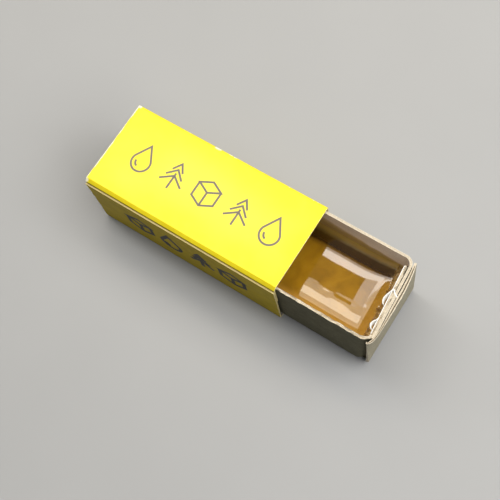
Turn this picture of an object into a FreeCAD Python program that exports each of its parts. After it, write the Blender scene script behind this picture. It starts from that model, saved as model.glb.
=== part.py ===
import FreeCAD, Part
import math
import os

"""A block of rosin cast in a folded greyboard tray that slides in an open-ended card sleeve.

Millimetres. +X runs along the box towards the end where the tray stands pulled out, +Y to the plain side
wall and +Z up. The origin is the centre of the sleeve's underside. Both blanks are folded sheet, so each
panel between two folds is a node of its own, with the folds that belong to it.
"""

# sleeve: one strip of thin card folded into a tube and glued along its -Y side
SLEEVE_LENGTH = 54.5
SLEEVE_WIDTH = 24.0
SLEEVE_HEIGHT = 21.8
CARD = 0.4
FAR_FOLD = 0.6          # outer radius of the top fold on the +Y side
NEAR_FOLD = 1.0         # outer radius of the top fold that runs down into the glue flap
BOTTOM_FOLD = 0.7
NEAR_WALL_DROP = 1.6    # raw top edge of the -Y wall below the top face
FLAP_REACH = 9.0        # the glue flap's lower edge below the top face
GLUE_FILM = 0.05

# tray: one blank of greyboard, folded up and glued at its two ends
TRAY_LENGTH = 54.0      # along its floor
TRAY_WIDTH = 22.0
TRAY_CENTRE_Y = 0.2
TRAY_UNDERSIDE = 0.5
TRAY_RIM = 21.0
BOARD = 0.65
TRAY_FOLD = 0.9         # outer radius of the folds along the tray's floor
CORNER = 2.2            # outer radius of the upright corners, where the walls turn into the tabs
END_FLAP_WIDTH = 21.6
END_FLAP_SHIFT = -0.25  # of the end flaps from the tray's middle: they were folded up a little askew
MOUTH_LEAN = 2.9        # degrees by which the flap at the open end leans out; the hidden one stands straight
SLIT = 0.1              # between the foot of the end flap and the tabs behind it
TAB_DROP = 0.15         # the tabs end this much below the rim
TAB_FOOT = 0.05         # and start this much above the floor
PULLED_OUT = 24.3       # of the tray, from the place where it is centred in the sleeve

# paper skin that has come loose from the board at the open end
SKIN = 0.12
SKIN_FOOT = 10.0
CURL_HEIGHT = 3.2
CURLS = ((2.3, -1.4, 1.0, 0.35), (-5.1, -7.7, 1.1, 0.0))  # from y, to y, how far its middle and end stand off

# rosin: cast in the tray, shrunk to a dish that climbs the walls
ROSIN_LEVEL = 10.5
ROSIN_EDGE = 13.4
ROSIN_CORNER = 1.6
ROSIN_FOOT = 0.35       # radius of its lower edges, inside the folds of the tray
ROSIN_FILM = 0.25       # thickness of its feather edge on the walls
ROSIN_MENISCUS = 2.85
CRUMB_LENGTH = 1.9
CRUMB_GAP = 0.45
CRUMBS = (2.6, 1.7, 3.1, 2.2, 1.5, 2.9)  # widths along Y of the broken pieces at the open end

X, Y, Z = FreeCAD.Vector(1, 0, 0), FreeCAD.Vector(0, 1, 0), FreeCAD.Vector(0, 0, 1)
ACROSS = {"x": (Y, Z, X), "y": (X, Z, Y), "z": (X, Y, Z)}

# what follows from the sizes above
SLEEVE_X = SLEEVE_LENGTH / 2
SLEEVE_Y = SLEEVE_WIDTH / 2
FLAP_Y = -SLEEVE_Y + CARD + GLUE_FILM
TRAY_X0 = PULLED_OUT - TRAY_LENGTH / 2
TRAY_X1 = PULLED_OUT + TRAY_LENGTH / 2
TRAY_Y0 = TRAY_CENTRE_Y - TRAY_WIDTH / 2
TRAY_Y1 = TRAY_CENTRE_Y + TRAY_WIDTH / 2
FLOOR_TOP = TRAY_UNDERSIDE + BOARD
FAR_TAB_BACK = BOARD + SLIT            # from the tray's end to the far tab's outer face
NEAR_TAB_BACK = FAR_TAB_BACK + BOARD
END_BACK = NEAR_TAB_BACK + BOARD       # to the inner face of the innermost tab


def slab(x0, x1, y0, y1, z0, z1):
    """A flat panel between two corners."""
    return Part.makeBox(x1 - x0, y1 - y0, z1 - z0, FreeCAD.Vector(x0, y0, z0))


def bend(axis, a, b, inner, outer, start, end, low, high):
    """A fold: the part of a ring about an axis through (a, b) in the plane across it, from low to high."""
    u, v, along = ACROSS[axis]
    centre = u * a + v * b + along * low

    def at(radius, degrees):
        angle = math.radians(degrees)
        return centre + u * (radius * math.cos(angle)) + v * (radius * math.sin(angle))

    middle = (start + end) / 2
    edges = [
        Part.Arc(at(outer, start), at(outer, middle), at(outer, end)).toShape(),
        Part.LineSegment(at(outer, end), at(inner, end)).toShape(),
        Part.Arc(at(inner, end), at(inner, middle), at(inner, start)).toShape(),
        Part.LineSegment(at(inner, start), at(outer, start)).toShape(),
    ]
    return Part.Face(Part.Wire(edges)).extrude(along * (high - low))


def joined(first, *others):
    """One solid from a panel and its folds."""
    return first.multiFuse(list(others)).removeSplitter()


def mirrored_end(shape):
    """The same piece at the tray's other end."""
    return shape.mirror(FreeCAD.Vector(PULLED_OUT, 0, 0), X)


def sleeve_top_panel():
    flat = slab(-SLEEVE_X, SLEEVE_X, FLAP_Y + NEAR_FOLD, SLEEVE_Y - FAR_FOLD,
                SLEEVE_HEIGHT - CARD, SLEEVE_HEIGHT)
    near = bend("x", FLAP_Y + NEAR_FOLD, SLEEVE_HEIGHT - NEAR_FOLD, NEAR_FOLD - CARD, NEAR_FOLD,
                90, 180, -SLEEVE_X, SLEEVE_X)
    far = bend("x", SLEEVE_Y - FAR_FOLD, SLEEVE_HEIGHT - FAR_FOLD, FAR_FOLD - CARD, FAR_FOLD,
               0, 90, -SLEEVE_X, SLEEVE_X)
    return joined(flat, near, far)


def sleeve_far_wall():
    return slab(-SLEEVE_X, SLEEVE_X, SLEEVE_Y - CARD, SLEEVE_Y, BOTTOM_FOLD, SLEEVE_HEIGHT - FAR_FOLD)


def sleeve_bottom_panel():
    edge = SLEEVE_Y - BOTTOM_FOLD
    flat = slab(-SLEEVE_X, SLEEVE_X, -edge, edge, 0, CARD)
    near = bend("x", -edge, BOTTOM_FOLD, BOTTOM_FOLD - CARD, BOTTOM_FOLD, 180, 270, -SLEEVE_X, SLEEVE_X)
    far = bend("x", edge, BOTTOM_FOLD, BOTTOM_FOLD - CARD, BOTTOM_FOLD, 270, 360, -SLEEVE_X, SLEEVE_X)
    return joined(flat, near, far)


def sleeve_near_wall():
    top = SLEEVE_HEIGHT - NEAR_WALL_DROP
    return slab(-SLEEVE_X, SLEEVE_X, -SLEEVE_Y, -SLEEVE_Y + CARD, BOTTOM_FOLD, top)


def sleeve_glue_flap():
    low, high = SLEEVE_HEIGHT - FLAP_REACH, SLEEVE_HEIGHT - NEAR_FOLD
    return slab(-SLEEVE_X, SLEEVE_X, FLAP_Y, FLAP_Y + CARD, low, high)


def sleeve_glue_strip():
    margin = 0.7
    low = SLEEVE_HEIGHT - FLAP_REACH + margin
    high = SLEEVE_HEIGHT - NEAR_WALL_DROP - margin / 2
    return slab(-SLEEVE_X + margin, SLEEVE_X - margin, FLAP_Y - GLUE_FILM, FLAP_Y, low, high)


def wall_ends(tab_back):
    """Where a tray wall's straight run starts and ends, for a tab whose outer face is that far in."""
    return TRAY_X0 + tab_back + CORNER, TRAY_X1 - tab_back - CORNER


def tray_floor():
    edge0, edge1 = TRAY_Y0 + TRAY_FOLD, TRAY_Y1 - TRAY_FOLD
    flat = slab(TRAY_X0 + TRAY_FOLD, TRAY_X1 - TRAY_FOLD, edge0, edge1, TRAY_UNDERSIDE, FLOOR_TOP)
    height = TRAY_UNDERSIDE + TRAY_FOLD
    near = bend("x", edge0, height, TRAY_FOLD - BOARD, TRAY_FOLD, 180, 270, *wall_ends(NEAR_TAB_BACK))
    far = bend("x", edge1, height, TRAY_FOLD - BOARD, TRAY_FOLD, 270, 360, *wall_ends(FAR_TAB_BACK))
    return joined(flat, near, far)


def tray_near_wall():
    start, end = wall_ends(NEAR_TAB_BACK)
    return slab(start, end, TRAY_Y0, TRAY_Y0 + BOARD, TRAY_UNDERSIDE + TRAY_FOLD, TRAY_RIM)


def tray_far_wall():
    start, end = wall_ends(FAR_TAB_BACK)
    return slab(start, end, TRAY_Y1 - BOARD, TRAY_Y1, TRAY_UNDERSIDE + TRAY_FOLD, TRAY_RIM)


def near_tab():
    """The innermost ply of the end: the near wall turned round the corner and across."""
    face = TRAY_X1 - NEAR_TAB_BACK
    low, high = FLOOR_TOP + TAB_FOOT, TRAY_RIM - TAB_DROP
    corner = bend("z", face - CORNER, TRAY_Y0 + CORNER, CORNER - BOARD, CORNER, 270, 360, low, high)
    flat = slab(face - BOARD, face, TRAY_Y0 + CORNER, TRAY_Y1 - CORNER, low, high)
    return joined(flat, corner)


def far_tab():
    """The ply outside it: the far wall turned round the other corner."""
    face = TRAY_X1 - FAR_TAB_BACK
    low, high = FLOOR_TOP + TAB_FOOT, TRAY_RIM - TAB_DROP
    corner = bend("z", face - CORNER, TRAY_Y1 - CORNER, CORNER - BOARD, CORNER, 0, 90, low, high)
    short = 1.4
    flat = slab(face - BOARD, face, TRAY_Y0 + short, TRAY_Y1 - CORNER, low, high)
    return joined(flat, corner)


def leaning_plate(corners, y0, y1):
    """A plate whose outline in the XZ plane is given, from y0 to y1."""
    points = [FreeCAD.Vector(x, y0, z) for x, z in corners]
    return Part.Face(Part.makePolygon(points + points[:1])).extrude(Y * (y1 - y0))


def flap_face(z, lean):
    """X of the end flap's inner face at a height, for the flap at +X."""
    foot = TRAY_UNDERSIDE + TRAY_FOLD
    inner = TRAY_FOLD - BOARD
    across = inner * math.cos(lean)
    return TRAY_X1 - TRAY_FOLD + across + (z - foot + inner * math.sin(lean)) * math.tan(lean)


def end_flap(lean):
    """The outer ply: the floor folded up over the tabs, with its sides standing out past the corners."""
    middle = TRAY_CENTRE_Y + END_FLAP_SHIFT
    foot = TRAY_UNDERSIDE + TRAY_FOLD
    fold = bend("y", TRAY_X1 - TRAY_FOLD, foot, TRAY_FOLD - BOARD, TRAY_FOLD, 270, 360 - math.degrees(lean),
                TRAY_Y0 + TRAY_FOLD, TRAY_Y1 - TRAY_FOLD)
    thick = BOARD / math.cos(lean)
    low_in = foot - (TRAY_FOLD - BOARD) * math.sin(lean)
    low_out = foot - TRAY_FOLD * math.sin(lean)
    plate = leaning_plate([
        (flap_face(low_in, lean), low_in),
        (flap_face(low_out, lean) + thick, low_out),
        (flap_face(TRAY_RIM, lean) + thick, TRAY_RIM),
        (flap_face(TRAY_RIM, lean), TRAY_RIM),
    ], middle - END_FLAP_WIDTH / 2, middle + END_FLAP_WIDTH / 2)
    return joined(plate, fold)


def glue_pad(lean):
    """The dab that holds the end flap against the tab behind it, which leaves the slit open above."""
    low, high, side = 3.0, 13.5, 3.0
    tab = TRAY_X1 - FAR_TAB_BACK
    outline = [(tab, low), (flap_face(low, lean), low), (flap_face(high, lean), high), (tab, high)]
    return leaning_plate(outline, TRAY_Y0 + side, TRAY_Y1 - side)


def curl(face, y_start, y_end, middle_off, end_off, low, high):
    """A stretch of paper bowed off a face whose normal is -X: an upright ribbon between two equal arcs."""
    def arc(behind):
        x = face - behind
        return [FreeCAD.Vector(x, y_start, low),
                FreeCAD.Vector(x - middle_off, (y_start + y_end) / 2, low),
                FreeCAD.Vector(x - end_off, y_end, low)]

    front, back = arc(SKIN), arc(0)
    edges = [
        Part.Arc(*front).toShape(),
        Part.LineSegment(front[2], back[2]).toShape(),
        Part.Arc(*reversed(back)).toShape(),
        Part.LineSegment(back[0], front[0]).toShape(),
    ]
    return Part.Face(Part.Wire(edges)).extrude(Z * (high - low))


def loose_paper_skin():
    """The white paper face of the inner tab, with two stretches of its upper edge curled off the board."""
    face = TRAY_X1 - END_BACK
    high = TRAY_RIM - TAB_DROP
    sheet = slab(face - SKIN, face, TRAY_Y0 + CORNER, TRAY_Y1 - CORNER, SKIN_FOOT, high)
    curls = [curl(face, *sizes, high - CURL_HEIGHT, high) for sizes in CURLS]
    return joined(sheet, *curls)


def rosin_outline(inset):
    """The upright edges of the rosin's block, inset by some amount, as a rounded rectangle's sizes."""
    x0 = TRAY_X0 + END_BACK + inset
    x1 = TRAY_X1 - END_BACK - SKIN - inset
    y0 = TRAY_Y0 + BOARD + inset
    y1 = TRAY_Y1 - BOARD - inset
    return x0, x1, y0, y1


def upright_edges(shape):
    """The four vertical edges of a plain block."""
    return [e for e in shape.Edges if abs(e.tangentAt(e.FirstParameter).z) > 0.99]


def edges_at(shape, z):
    """The edges that lie at one height."""
    return [e for e in shape.Edges if e.BoundBox.ZMax - z < 1e-6 and z - e.BoundBox.ZMin < 1e-6]


def rosin_cake():
    """A block with a dished top: the dish's floor meets its walls in one large fillet."""
    block = slab(*rosin_outline(0), FLOOR_TOP, ROSIN_EDGE)
    block = block.makeFillet(ROSIN_CORNER, upright_edges(block))
    block = block.makeFillet(ROSIN_FOOT, edges_at(block, FLOOR_TOP))
    dish = slab(*rosin_outline(ROSIN_FILM), ROSIN_LEVEL, ROSIN_EDGE + ROSIN_MENISCUS)
    dish = dish.makeFillet(ROSIN_MENISCUS + 0.1, upright_edges(dish))
    dish = dish.makeFillet(ROSIN_MENISCUS, edges_at(dish, ROSIN_LEVEL))
    return block.cut(dish)


def crumb(x0, x1, y0, y1, z0, z1):
    """A broken piece: a block with its top pulled in on every side."""
    pull = 0.35
    base = Part.makePolygon([FreeCAD.Vector(*p) for p in (
        (x0, y0, z0), (x1, y0, z0), (x1, y1, z0), (x0, y1, z0), (x0, y0, z0))])
    top = Part.makePolygon([FreeCAD.Vector(*p) for p in (
        (x0 + pull, y0 + pull, z1), (x1, y0 + pull, z1), (x1, y1 - pull, z1),
        (x0 + pull, y1 - pull, z1), (x0 + pull, y0 + pull, z1))])
    return Part.makeLoft([base, top], True, True)


def rosin_crust(cake):
    """Broken pieces standing in a row along the open end, each seated on the shoulder of the cake."""
    back = rosin_outline(ROSIN_FILM)[1]
    y = rosin_outline(ROSIN_MENISCUS)[2] - ROSIN_FILM
    low, high = ROSIN_EDGE - 0.8, ROSIN_EDGE + 0.4
    pieces = []
    for index, width in enumerate(CRUMBS):
        shorter = 0.35 * (index % 2)
        piece = crumb(back - CRUMB_LENGTH + shorter, back, y, y + width, low, high - shorter)
        pieces.append(piece.cut(cake))
        y += width + CRUMB_GAP
    return Part.makeCompound(pieces)


def write(name, shape):
    """One STEP file per node."""
    shape.exportStep("parts/" + name + ".step")
    print(name, len(shape.Solids), shape.isValid(), round(shape.Volume, 3))


os.makedirs("parts", exist_ok=True)
write("sleeve_top_panel", sleeve_top_panel())
write("sleeve_far_wall", sleeve_far_wall())
write("sleeve_bottom_panel", sleeve_bottom_panel())
write("sleeve_near_wall", sleeve_near_wall())
write("sleeve_glue_flap", sleeve_glue_flap())
write("sleeve_glue_strip", sleeve_glue_strip())
write("tray_floor", tray_floor())
write("tray_near_wall", tray_near_wall())
write("tray_far_wall", tray_far_wall())
for tab in (near_tab, far_tab):
    write("mouth_" + tab.__name__, tab())
    write("rear_" + tab.__name__, mirrored_end(tab()))
for outer_piece in (end_flap, glue_pad):
    write("mouth_" + outer_piece.__name__, outer_piece(math.radians(MOUTH_LEAN)))
    write("rear_" + outer_piece.__name__, mirrored_end(outer_piece(0)))
write("mouth_paper_skin", loose_paper_skin())
cake = rosin_cake()
write("rosin_cake", cake)
write("rosin_crust", rosin_crust(cake))
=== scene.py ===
import math

import bmesh
import bpy
import numpy as np
from mathutils import Matrix, Vector


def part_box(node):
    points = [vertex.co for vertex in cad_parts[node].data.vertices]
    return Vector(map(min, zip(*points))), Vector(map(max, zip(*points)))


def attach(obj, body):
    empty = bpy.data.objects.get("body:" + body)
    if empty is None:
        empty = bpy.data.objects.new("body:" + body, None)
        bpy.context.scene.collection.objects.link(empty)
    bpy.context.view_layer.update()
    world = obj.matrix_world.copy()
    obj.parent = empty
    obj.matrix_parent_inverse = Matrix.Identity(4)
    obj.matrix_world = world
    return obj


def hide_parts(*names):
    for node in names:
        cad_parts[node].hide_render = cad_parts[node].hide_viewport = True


# A rosin cake in its slide box: the card sleeve, the greyboard tray, the loose paper and the rosin.
# Shapes and materials are worked out in millimetres, from the boxes of the CAD nodes, and turned into
# metres when a mesh or node is made. Lights and camera are placed in metres.

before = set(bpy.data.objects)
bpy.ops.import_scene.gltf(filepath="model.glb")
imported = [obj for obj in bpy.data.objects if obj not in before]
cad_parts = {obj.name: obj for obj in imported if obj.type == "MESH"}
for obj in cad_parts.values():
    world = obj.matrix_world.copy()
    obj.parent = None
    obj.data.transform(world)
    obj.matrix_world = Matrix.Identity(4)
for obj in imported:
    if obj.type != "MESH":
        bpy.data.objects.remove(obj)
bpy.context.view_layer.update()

MM = 0.001


def edges(node):
    """A CAD node's lowest and highest corner, in millimetres."""
    low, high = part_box(node)
    return np.array(low) / MM, np.array(high) / MM


TOP_LOW, TOP_HIGH = edges("sleeve_top_panel")
BOTTOM_LOW, BOTTOM_HIGH = edges("sleeve_bottom_panel")
NEAR_LOW, NEAR_HIGH = edges("sleeve_near_wall")
FLAP_LOW, FLAP_HIGH = edges("sleeve_glue_flap")
_, FAR_HIGH = edges("sleeve_far_wall")
CARD = NEAR_HIGH[1] - NEAR_LOW[1]
SLEEVE_END = TOP_HIGH[0]
INK_DEPTH = 0.02            # room above the card for the print

TRAY_NEAR_LOW, TRAY_NEAR_HIGH = edges("tray_near_wall")
TRAY_FAR_LOW, TRAY_FAR_HIGH = edges("tray_far_wall")
TRAY_FLOOR_LOW, TRAY_FLOOR_HIGH = edges("tray_floor")
NEAR_TAB_LOW, NEAR_TAB_HIGH = edges("mouth_near_tab")
FAR_TAB_LOW, FAR_TAB_HIGH = edges("mouth_far_tab")
REAR_NEAR_TAB_LOW, _ = edges("rear_near_tab")
REAR_FLAP_LOW, REAR_FLAP_HIGH = edges("rear_end_flap")
MOUTH_FLAP_LOW, MOUTH_FLAP_HIGH = edges("mouth_end_flap")
ROSIN_LOW, ROSIN_HIGH = edges("rosin_cake")
BOARD = TRAY_NEAR_HIGH[1] - TRAY_NEAR_LOW[1]
RIM = TRAY_NEAR_HIGH[2]
TAB_FOOT = NEAR_TAB_LOW[2]
TAB_TOP = NEAR_TAB_HIGH[2]
CORNER = NEAR_TAB_HIGH[0] - TRAY_NEAR_HIGH[0]
TRAY_FOLD = TRAY_NEAR_LOW[2] - TRAY_FLOOR_LOW[2]
FLOOR_END = TRAY_FLOOR_HIGH[0] + TRAY_FOLD
FLAP_PROFILE = ((TRAY_FOLD, 90), RIM - TRAY_FOLD - TRAY_FLOOR_LOW[2])   # fold, then straight up to the rim


# -------- noise and meshes

def noise(u, v, cell, seed):
    """Smooth noise between -1 and 1 over a plane, from a seeded lattice with the given cell size."""
    size = 64
    lattice = np.random.RandomState(seed).uniform(-1, 1, (size, size))
    a, b = np.asarray(u) / cell, np.asarray(v) / cell
    i, j = np.floor(a).astype(int), np.floor(b).astype(int)
    a, b = a - i, b - j
    a, b = a * a * (3 - 2 * a), b * b * (3 - 2 * b)
    i0, j0, i1, j1 = i % size, j % size, (i + 1) % size, (j + 1) % size
    low = lattice[i0, j0] * (1 - a) + lattice[i1, j0] * a
    high = lattice[i0, j1] * (1 - a) + lattice[i1, j1] * a
    return low * (1 - b) + high * b


def ragged(u, v, cell, seed):
    """Noise in three octaves."""
    return (noise(u, v, cell, seed) + 0.5 * noise(u, v, cell / 2.3, seed + 1)
            + 0.25 * noise(u, v, cell / 5.1, seed + 2)) / 1.75


def smooth(value, start, end):
    """0 before start, 1 after end and an S-curve between."""
    a = np.clip((value - start) / (end - start), 0, 1)
    return a * a * (3 - 2 * a)


def spaced(low, high, step, fine=()):
    """Evenly spaced values from low to high, with more of them at the given distances from both ends."""
    count = max(2, int(round((high - low) / step)) + 1)
    values = list(np.linspace(low, high, count))
    values += [low + d for d in fine] + [high - d for d in fine]
    return np.unique(np.round(values, 4))


def make_object(name, points, faces, materials, slots, layers=None, sharp=40):
    """A mesh object from points in millimetres, with smooth shading and creases at sharp angles."""
    mesh = bpy.data.meshes.new(name)
    mesh.from_pydata((np.asarray(points) * MM).tolist(), [], [list(map(int, f)) for f in faces])
    for material in materials:
        mesh.materials.append(material)
    mesh.polygons.foreach_set("material_index", np.asarray(slots, np.int32))
    for layer, values in (layers or {}).items():
        attribute = mesh.attributes.new(layer, "FLOAT", "POINT")
        attribute.data.foreach_set("value", np.asarray(values, np.float32))
    work = bmesh.new()
    work.from_mesh(mesh)
    bmesh.ops.recalc_face_normals(work, faces=work.faces)
    work.to_mesh(mesh)
    work.free()
    mesh.shade_smooth()
    mesh.set_sharp_from_angle(angle=math.radians(sharp))
    obj = bpy.data.objects.new(name, mesh)
    bpy.context.scene.collection.objects.link(obj)
    return obj


def sheet(name, s, w, t, place, materials, slots=(0, 1, 2), sharp=40):
    """A closed sheet: the skin of a grid over s, w and t, where place(s, w, t) gives points and layers.
    slots are for the face at the first t, the face at the last t and the cut edges."""
    grid = np.arange(len(s) * len(w) * len(t)).reshape(len(s), len(w), len(t))
    s_all, w_all, t_all = (g.ravel() for g in np.meshgrid(s, w, t, indexing="ij"))
    quads, kinds = [], []
    sides = ((grid[:, :, 0], slots[0]), (grid[:, :, -1], slots[1]), (grid[:, 0, :], slots[2]),
             (grid[:, -1, :], slots[2]), (grid[0], slots[2]), (grid[-1], slots[2]))
    for block, kind in sides:
        corners = (block[:-1, :-1], block[1:, :-1], block[1:, 1:], block[:-1, 1:])
        quads.append(np.stack(corners, -1).reshape(-1, 4))
        kinds.append(np.full(len(quads[-1]), kind))
    quads, kinds = np.concatenate(quads), np.concatenate(kinds)
    used, quads = np.unique(quads, return_inverse=True)
    quads = quads.reshape(-1, 4)
    points, layers = place(s_all[used], w_all[used], t_all[used])
    return make_object(name, points, quads, materials, kinds, layers, sharp)


def folded(start, heading, pieces, step):
    """A path of straight runs (one number) and left-hand bends (radius, degrees), as arrays of its points,
    left-hand normals and lengths."""
    bend_steps = 10
    x, y = start
    angle, total, rows = math.radians(heading), 0.0, []
    for piece in pieces:
        if isinstance(piece, tuple):
            radius, turn = piece[0], math.radians(piece[1])
            cx, cy = x - radius * math.sin(angle), y + radius * math.cos(angle)
            for k in range(bend_steps):
                a = angle + turn * k / bend_steps
                length = total + radius * turn * k / bend_steps
                rows.append((cx + radius * math.sin(a), cy - radius * math.cos(a), a, length))
            angle += turn
            total += radius * turn
            x, y = cx + radius * math.sin(angle), cy - radius * math.cos(angle)
        else:
            count = max(1, int(math.ceil(piece / step)))
            for k in range(count):
                d = piece * k / count
                rows.append((x + d * math.cos(angle), y + d * math.sin(angle), angle, total + d))
            x, y = x + piece * math.cos(angle), y + piece * math.sin(angle)
            total += piece
    rows.append((x, y, angle, total))
    rows = np.array(rows)
    normals = np.stack((-np.sin(rows[:, 2]), np.cos(rows[:, 2])), -1)
    return rows[:, :2], normals, rows[:, 3]


def curve_points(points, count=10):
    """A smooth curve through a few points (Catmull-Rom), with the same number of steps in every span."""
    points = np.asarray(points, float)
    padded = np.vstack((2 * points[0] - points[1], points, 2 * points[-1] - points[-2]))
    out = []
    for a, b, c, d in zip(padded, padded[1:], padded[2:], padded[3:]):
        for u in np.arange(count) / count:
            out.append(0.5 * (2 * b + (c - a) * u + (2 * a - 5 * b + 4 * c - d) * u * u
                              + (3 * b - a - 3 * c + d) * u ** 3))
    return np.array(out + [points[-1]])


def curve_through(points):
    """A smooth path through a few points, as points, left-hand normals and lengths."""
    out = curve_points(points)
    tangent = np.gradient(out, axis=0)
    tangent /= np.linalg.norm(tangent, axis=1)[:, None]
    lengths = np.concatenate(([0], np.cumsum(np.linalg.norm(np.diff(out, axis=0), axis=1))))
    return out, np.stack((-tangent[:, 1], tangent[:, 0]), -1), lengths


def along(path, s):
    """Points and normals of a path at lengths s."""
    points, normals, lengths = path
    p = np.stack([np.interp(s, lengths, points[:, k]) for k in (0, 1)], -1)
    n = np.stack([np.interp(s, lengths, normals[:, k]) for k in (0, 1)], -1)
    return p, n / np.linalg.norm(n, axis=1)[:, None]


# -------- materials

class Nodes:
    """A material under construction: short calls that add nodes and return their output sockets."""

    def __init__(self, name):
        self.material = bpy.data.materials.new(name)
        self.material.use_nodes = True
        self.tree = self.material.node_tree
        self.shader = self.tree.nodes["Principled BSDF"]
        self.place = self.tree.nodes.new("ShaderNodeTexCoord").outputs["Object"]

    def link(self, source, socket):
        """Joins an output to an input."""
        self.tree.links.new(source, socket)

    def put(self, value, socket):
        """Gives an input an output to follow, a colour or a number."""
        if isinstance(value, bpy.types.NodeSocket):
            self.link(value, socket)
        elif isinstance(value, tuple):
            socket.default_value = (*value, 1)
        else:
            socket.default_value = value

    def set(self, **values):
        """Sets the shader's own inputs; an underscore stands for a space."""
        for key, value in values.items():
            self.shader.inputs[key.replace("_", " ")].default_value = value

    def node(self, kind, **settings):
        """A new node of a kind, with its settings."""
        made = self.tree.nodes.new("ShaderNode" + kind)
        for key, value in settings.items():
            setattr(made, key, value)
        return made

    def stretched(self, scale):
        """Object coordinates, scaled along each axis."""
        made = self.node("Mapping")
        made.inputs["Scale"].default_value = scale
        self.link(self.place, made.inputs["Vector"])
        return made.outputs["Vector"]

    def noise(self, size_mm, detail=3, rough=0.55, stretch=None, distortion=0):
        """Noise from 0 to 1 with features of about the given size."""
        made = self.node("TexNoise")
        made.inputs["Scale"].default_value = 1 / (size_mm * MM)
        made.inputs["Detail"].default_value = detail
        made.inputs["Roughness"].default_value = rough
        made.inputs["Distortion"].default_value = distortion
        self.link(self.stretched(stretch) if stretch else self.place, made.inputs["Vector"])
        return made.outputs["Fac"]

    def layer(self, name):
        """A layer stored on the mesh; 0 where a mesh has none of that name."""
        return self.node("Attribute", attribute_name=name).outputs["Fac"]

    def ramp(self, value, stops):
        """A colour or grey ramp; each stop is (position, colour or number)."""
        made = self.node("ValToRGB")
        elements = made.color_ramp.elements
        elements.remove(elements[1])
        elements[0].position = stops[0][0]
        for position, colour in stops:
            element = elements[0] if position == stops[0][0] else elements.new(position)
            rgb = (colour,) * 3 if isinstance(colour, (int, float)) else colour
            element.color = (*rgb, 1)
        self.link(value, made.inputs["Fac"])
        return made.outputs["Color"]

    def mix(self, factor, a, b):
        """Two colours mixed; each is a socket or an RGB tuple, and factor a socket or a number."""
        made = self.node("Mix", data_type="RGBA")
        for value, index in ((factor, 0), (a, 6), (b, 7)):
            self.put(value, made.inputs[index])
        return made.outputs[2]

    def maths(self, operation, a, b):
        """Two numbers or sockets combined, with the result kept between 0 and 1."""
        made = self.node("Math", operation=operation, use_clamp=True)
        self.put(a, made.inputs[0])
        self.put(b, made.inputs[1])
        return made.outputs[0]

    def bump(self, height, depth_mm, strength=1.0, after=None):
        """Relief of the given depth, laid over the bump in after."""
        made = self.node("Bump")
        made.inputs["Strength"].default_value = strength
        made.inputs["Distance"].default_value = depth_mm * MM
        self.link(height, made.inputs["Height"])
        if after:
            self.link(after, made.inputs["Normal"])
        return made.outputs["Normal"]

    def finish(self, colour=None, roughness=None, normal=None):
        """Joins what varies over the surface to the shader and returns the material."""
        for name, socket in (("Base Color", colour), ("Roughness", roughness), ("Normal", normal)):
            if socket:
                self.link(socket, self.shader.inputs[name])
        return self.material


def printed_card():
    """Glossy yellow print on box card, rubbed pale where the wear layer is high, with a painted sheen paling
    the top's middle and painted shade turning both side walls ochre.
    """
    m = Nodes("yellow_print")
    mottle = m.noise(3.0, detail=4)
    yellow = m.ramp(mottle, ((0.25, (0.86, 0.68, 0.012)), (0.55, (0.93, 0.76, 0.018)),
                             (0.85, (0.97, 0.82, 0.03))))
    # Painted shade: the side walls get a darker ochre copy of the yellow, for the shade they stand in.
    shaded_side_yellow = m.ramp(mottle, ((0.3, (0.37, 0.27, 0.004)), (0.8, (0.48, 0.35, 0.007))))
    # Painted sheen: the top's print is painted paler towards its middle, standing in for the gloss
    # reflecting the light.
    yellow = m.mix(m.maths("MULTIPLY", m.layer("faded"), 0.8), yellow, (0.94, 0.82, 0.085))
    yellow = m.mix(m.layer("side"), yellow, shaded_side_yellow)
    grain = m.noise(0.22, detail=2)
    yellow = m.mix(m.maths("MULTIPLY", grain, 0.10), yellow, (0.80, 0.60, 0.01))
    specks = m.ramp(m.noise(0.35, detail=5, rough=0.7), ((0.40, 0.0), (0.62, 1.0)))
    speckled = m.maths("MULTIPLY", m.maths("MULTIPLY", specks, m.layer("wear")), 0.8)
    worn = m.ramp(m.maths("ADD", m.layer("wear"), speckled), ((0.55, 0.0), (0.85, 1.0)))
    colour = m.mix(worn, yellow, (0.88, 0.86, 0.62))
    roughness = m.ramp(m.noise(1.6, detail=3), ((0.3, 0.30), (0.8, 0.42)))
    roughness = m.mix(m.maths("MAXIMUM", worn, m.layer("side")), roughness, (0.8, 0.8, 0.8))
    fine = m.bump(m.noise(0.12, detail=2), 0.006, 0.5)
    normal = m.bump(m.noise(2.2, detail=2), 0.03, 0.35, after=fine)
    m.set(Specular_IOR_Level=0.22, Coat_Weight=0.08, Coat_Roughness=0.22)
    return m.finish(colour, roughness, normal)


def board_colour(m, dark, light):
    """Grey or cream board: soft mottling with darker and paler fibres."""
    base = m.mix(m.noise(2.4, detail=4), dark, light)
    fibres = m.ramp(m.noise(0.30, detail=4, rough=0.7, stretch=(1, 0.35, 1), distortion=1.2),
                    ((0.36, 1.0), (0.46, 0.0)))
    pale = m.ramp(m.noise(0.22, detail=3, rough=0.7, stretch=(0.3, 1, 1), distortion=1.0),
                  ((0.62, 0.0), (0.74, 1.0)))
    base = m.mix(m.maths("MULTIPLY", fibres, 0.35), base, tuple(c * 0.55 for c in dark))
    return m.mix(m.maths("MULTIPLY", pale, 0.35), base, tuple(min(1.0, c * 1.35) for c in light))


def card_back():
    """The sleeve's unprinted inner face."""
    m = Nodes("card_back")
    colour = board_colour(m, (0.24, 0.215, 0.17), (0.32, 0.29, 0.24))
    m.set(Roughness=0.9, Specular_IOR_Level=0.25)
    return m.finish(colour, None, m.bump(m.noise(0.2, detail=4), 0.02, 0.5))


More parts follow.
